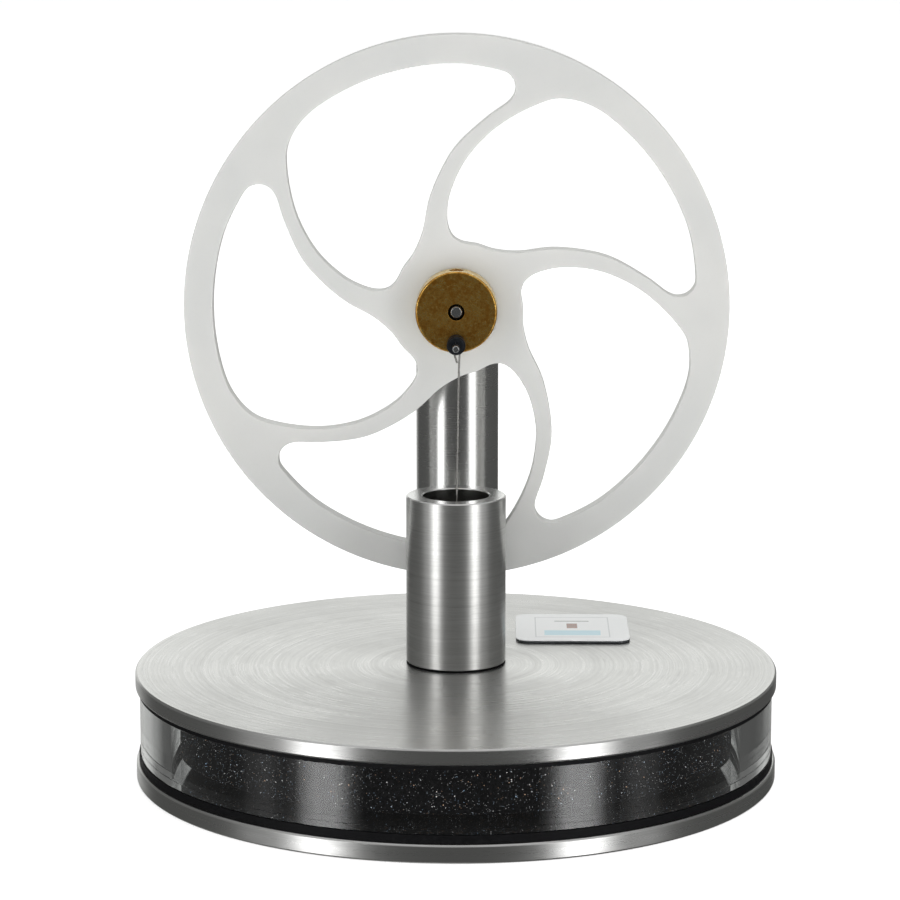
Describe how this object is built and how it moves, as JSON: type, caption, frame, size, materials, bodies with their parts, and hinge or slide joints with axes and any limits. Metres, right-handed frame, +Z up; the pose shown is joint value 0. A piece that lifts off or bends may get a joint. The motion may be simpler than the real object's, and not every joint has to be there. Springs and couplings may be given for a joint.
{
  "type": "stirling engine",
  "caption": "Tabletop hot-air engine: round two-plate base with a clear ring, upright cylinder, tower and a thin spoked flywheel turned by a wire connecting rod.",
  "frame": {"origin": "centre of the bottom plate's underside, which is also the bottom centre of the whole object's box", "axes": "+Z up from the bottom plate to the flywheel's top; the shaft runs along Y with the crank end towards -Y"},
  "size_m": [0.0926, 0.0926, 0.106],
  "materials": {
    "turned_aluminium": "satin",
    "brushed_steel": "satin",
    "polished_aluminium": "polished",
    "black_rubber": "satin",
    "clear_acrylic": "polished",
    "bright_steel": "satin",
    "printed_badge": "satin",
    "white_plastic": "satin",
    "brass": "satin",
    "blackened_steel": "satin",
    "black_plastic": "satin",
    "graphite": "satin",
    "nickel_plate": "polished",
    "black_foam": "matte",
    "white_ptfe": "satin"
  },
  "bodies": {
    "base": {"bottom_plate": "turned_aluminium", "bottom_seal": "black_rubber", "chamber_ring": "clear_acrylic", "top_seal": "black_rubber", "top_plate": "turned_aluminium", "cylinder_gasket": "black_rubber", "power_cylinder": "brushed_steel", "tower": "polished_aluminium", "tower_screw": "bright_steel", "guide_pin": "bright_steel", "front_bearing_outer_ring": "bright_steel", "rear_bearing_outer_ring": "bright_steel", "badge": "printed_badge"},
    "crankshaft": {"shaft": "bright_steel", "flywheel": "white_plastic", "crank_hub": "brass", "hub_grub_screw": "blackened_steel", "crank_pin": "bright_steel", "front_pin_collar": "black_plastic", "rear_pin_collar": "black_plastic", "front_bearing_inner_ring": "bright_steel", "rear_bearing_inner_ring": "bright_steel", "front_spacer": "bright_steel", "rear_spacer": "bright_steel", "rear_collar": "brass", "collar_grub_screw": "blackened_steel"},
    "connecting_rod": {"conrod_wire": "bright_steel"},
    "piston": {"power_piston": "graphite", "piston_magnet": "nickel_plate", "piston_yoke": "turned_aluminium"},
    "displacer": {"displacer_foam": "black_foam", "displacer_magnet": "nickel_plate", "guide_bush": "white_ptfe"}
  },
  "joints": [
    {"name": "flywheel_spin", "type": "hinge", "parent": "base", "child": "crankshaft", "pos_m": [0, 0.0196, 0.06645], "axis": [0, 1, 0], "continuous": true},
    {"name": "rod_swing", "type": "hinge", "parent": "crankshaft", "child": "connecting_rod", "pos_m": [0, 0.00412, 0.06195], "axis": [0, 1, 0], "continuous": true},
    {"name": "piston_slide", "type": "slide", "parent": "base", "child": "piston", "axis": [0, 0, 1], "range_m": [0, 0.009]},
    {"name": "displacer_slide", "type": "slide", "parent": "base", "child": "displacer", "axis": [0, 0, 1], "range_m": [-0.0023, 0]}
  ],
  "couplings": [
    {"joint": "rod_swing", "follows": "flywheel_spin", "ratio": -1}
  ]
}
